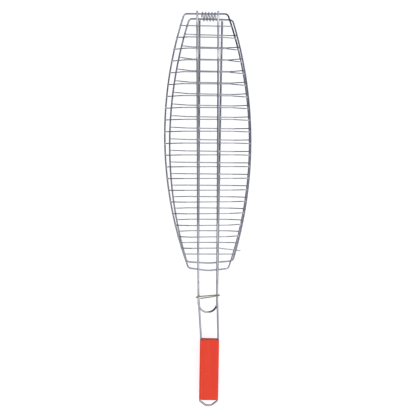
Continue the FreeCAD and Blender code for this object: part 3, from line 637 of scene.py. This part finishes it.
def quarterOutline(halfWide, halfThick, settings):
    # a quarter of the cut across the grip: face, rounded edge, side and half of the groove
    edge, groove, lip = settings["edgeRound"], settings["grooveRadius"], settings["grooveLip"]
    steps, faceSteps = settings["edgeSteps"], settings["faceSteps"]
    faceEnd = halfWide * settings["faceShare"]
    points = [(faceEnd * i / faceSteps, halfThick) for i in range(faceSteps)]
    for i in range(steps + 1):
        turn = math.pi / 2 * (1 - i / steps)
        points.append((halfWide - edge + math.cos(turn) * edge, halfThick - edge + math.sin(turn) * edge))
    points.append((halfWide, (groove + lip + halfThick - edge) / 2))
    for i in range(settings["lipSteps"] + 1):
        turn = math.pi / 2 * i / settings["lipSteps"]
        points.append((halfWide - lip + math.cos(turn) * lip, groove + lip - math.sin(turn) * lip))
    grooveMiddle = halfWide - settings["grooveDepth"] + groove
    for i in range(steps + 1):
        turn = math.pi / 2 * (1 + i / steps)
        points.append((grooveMiddle + math.cos(turn) * groove, math.sin(turn) * groove))
    return points


def endSteps(halfLong, corner, count):
    # stations round the corner at one end: place along the grip, and how far the sides draw in
    steps = []
    for i in range(count + 1):
        turn = math.pi / 2 * i / count
        steps.append((-halfLong + corner * (1 - math.cos(turn)), corner * (1 - math.sin(turn))))
    return steps


def gripPoint(x, y, z, inset, half, settings):
    # one point of the outline, drawn in at the ends and slightly crowned on the faces
    halfWide, halfLong, halfThick = half
    inGroove = abs(z) <= settings["grooveRadius"] * 1.01 and abs(x) < halfWide - 0.2 * mm
    if inGroove:
        return math.copysign(min(abs(x), halfWide - inset), x), y, z
    z = z * (halfThick - inset * settings["endRound"]) / halfThick
    onFace = abs(z) > halfThick * 0.6
    if onFace:
        bowed = (1 - (x / halfWide) ** 2) * (1 - (y / halfLong) ** 4) - 1
        wave = noise.noise(Vector((x, y, z)) * Vector(settings["unevenScale"])) - 1
        z += math.copysign(settings["crown"] * bowed + settings["unevenness"] * wave, z)
    return x * (halfWide - inset) / halfWide, y, z


def buildGrip(settings):
    low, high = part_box("wood_grip")
    lean = math.radians(settings["lean"])
    middle = (low + high) / 2
    spanX, spanY = high.x - low.x, high.y - low.y
    # undo the lean to get the block's own half sizes
    c, s = math.cos(lean), abs(math.sin(lean))
    halfLong = (spanY * c - spanX * s) / (c * c - s * s) / 2
    halfWide = (spanX * c - spanY * s) / (c * c - s * s) / 2
    halfThick = (high.z - low.z) / 2
    half = (halfWide, halfLong, halfThick)
    quarter = quarterOutline(halfWide, halfThick, settings)
    right = quarter + [(x, -y) for x, y in quarter[::-1]][1:]
    outline = right + [(-x, y) for x, y in right[::-1]][1:-1]
    corner, stations = settings["cornerRound"], settings["stations"]
    nearEnd = endSteps(halfLong, corner, settings["cornerSteps"])
    straight = 2 * (halfLong - corner)
    inner = [(-halfLong + corner + straight * i / stations, 0.0) for i in range(1, stations)]
    bm = bmesh.new()
    rows = []
    for y, inset in nearEnd + inner + [(-y, inset) for y, inset in nearEnd[::-1]]:
        rows.append([bm.verts.new(gripPoint(x, y, z, inset, half, settings)) for x, z in outline])
    for a, b in zip(rows, rows[1:]):
        for j in range(len(outline)):
            k = (j + 1) % len(outline)
            bm.faces.new((a[j], a[k], b[k], b[j]))
    bm.faces.new(rows[0][::-1])
    bm.faces.new(rows[-1])
    bmesh.ops.triangulate(bm, faces=[f for f in bm.faces if len(f.verts) > 4])
    bmesh.ops.recalc_face_normals(bm, faces=bm.faces)
    for edge in bm.edges:
        edge.smooth = edge.calc_face_angle(0.0) < math.radians(settings["sharpAbove"])
    piece = bpy.data.objects.new("grip_wood", finishMesh(bm, "gripWood", paintedWood(paintLook)))
    piece.matrix_world = Matrix.Translation(middle) @ Matrix.Rotation(lean, 4, "Z")
    scene.collection.objects.link(piece)
    return piece


gripWood = buildGrip(grip)
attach(gripWood, "base")
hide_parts("wood_grip")
print("grip done:", len(gripWood.data.vertices), "points")


# floor, light and camera
stage = {
    "floorSize": 6.0,
    "floorDrop": 0.2 * mm,             # so that the wires don't lie in the floor
    "floorTone": (0.42, 0.42, 0.42),
    "floorGlow": 0.75,
    "floorRough": 0.9,
    "floorSpecular": 0.1,
    "mottleScale": 3.0,                # faint darker clouds on the floor
    "mottleAmount": 0.06,
    "mottleTone": 0.97,
    "skyStrip": (1.22, 1.23, 1.29),    # bright band overhead, along the length of the basket
    "skySides": (0.045, 0.047, 0.070),
    "stripCentre": 0.38,               # sideways part of the direction at the middle of the band
    "stripHalf": (0.28, 0.54),         # and how far from there it fades
    # name, place, what it points at, size, power
    "panels": [
        ("handle_panel", (0.0, -0.65, 1.25), (0.0, -0.65, 0.0), (1.5, 0.9), 4.2),
        ("key_panel", (-0.5, 0.9, 1.5), (0.0, 0.0, 0.0), (0.5, 0.5), 6.5),
    ],
}


def buildFloor(settings):
    half = settings["floorSize"] / 2
    mesh = bpy.data.meshes.new("floorSheet")
    corners = [(-half, -half, 0), (half, -half, 0), (half, half, 0), (-half, half, 0)]
    mesh.from_pydata(corners, [], [(0, 1, 2, 3)])
    piece = bpy.data.objects.new("floor_sheet", mesh)
    piece.location.z = cadBox[0].z - settings["floorDrop"]
    scene.collection.objects.link(piece)
    material, tree, shader, place = newMaterial("paleFloor")
    shade = noiseNode(tree, place, settings["mottleScale"], 2.0)
    tone = settings["floorTone"]
    darker = tuple(part * settings["mottleTone"] for part in tone)
    clouds = mathNode(tree, "MULTIPLY", shade, settings["mottleAmount"])
    mottled = blendColour(tree, clouds, tone, darker)
    link(tree, mottled, shader.inputs["Base Color"])
    shader.inputs["Roughness"].default_value = settings["floorRough"]
    shader.inputs["Specular IOR Level"].default_value = settings["floorSpecular"]
    shader.inputs["Emission Color"].default_value = (1.0, 1.0, 1.0, 1.0)
    shader.inputs["Emission Strength"].default_value = settings["floorGlow"]
    mesh.materials.append(material)


def buildSky(settings):
    world = bpy.data.worlds.new("studioSky")
    scene.world = world
    world.use_nodes = True
    tree = world.node_tree
    tree.nodes.clear()
    background = addNode(tree, "Background")
    output = addNode(tree, "OutputWorld")
    link(tree, background.outputs["Background"], output.inputs["Surface"])
    direction = addNode(tree, "TexCoord")
    parts = addNode(tree, "SeparateXYZ")
    link(tree, direction.outputs["Generated"], parts.inputs["Vector"])
    fromMiddle = mathNode(tree, "ADD", parts.outputs["X"], -settings["stripCentre"])
    sideways = spread(tree, mathNode(tree, "ABSOLUTE", fromMiddle), *settings["stripHalf"])
    glow = blendColour(tree, sideways, settings["skyStrip"], settings["skySides"])
    link(tree, glow, background.inputs["Color"])


def addSoftLight(name, place, aim, size, power):
    light = bpy.data.lights.new(name, "AREA")
    light.shape = "RECTANGLE"
    light.size, light.size_y = size
    light.energy = power
    lamp = bpy.data.objects.new(name, light)
    lamp.location = place
    lamp.rotation_euler = (Vector(aim) - Vector(place)).to_track_quat("-Z", "Y").to_euler()
    scene.collection.objects.link(lamp)


buildFloor(stage)
buildSky(stage)
for panel in stage["panels"]:
    addSoftLight(*panel)

view = {
    "place": (0.00063, 0.0554, 1.1679),    # metres
    "tilt": -2.5,                          # degrees
    "roll": 0.26,
    "lens": 65.6,                          # millimetres
    "film": 36.0,
    "nearest": 0.05,
}


def buildCamera(settings):
    lens = bpy.data.cameras.new("front_camera")
    lens.lens = settings["lens"]
    lens.sensor_width = settings["film"]
    lens.clip_start = settings["nearest"]
    camera = bpy.data.objects.new("front_camera", lens)
    camera.location = settings["place"]
    camera.rotation_euler = (math.radians(settings["tilt"]), 0.0, math.radians(settings["roll"]))
    scene.collection.objects.link(camera)
    bpy.context.scene.camera = camera


buildCamera(view)
scene.view_settings.view_transform = "Standard"
print("stage and camera set")

bpy.context.view_layer.update()
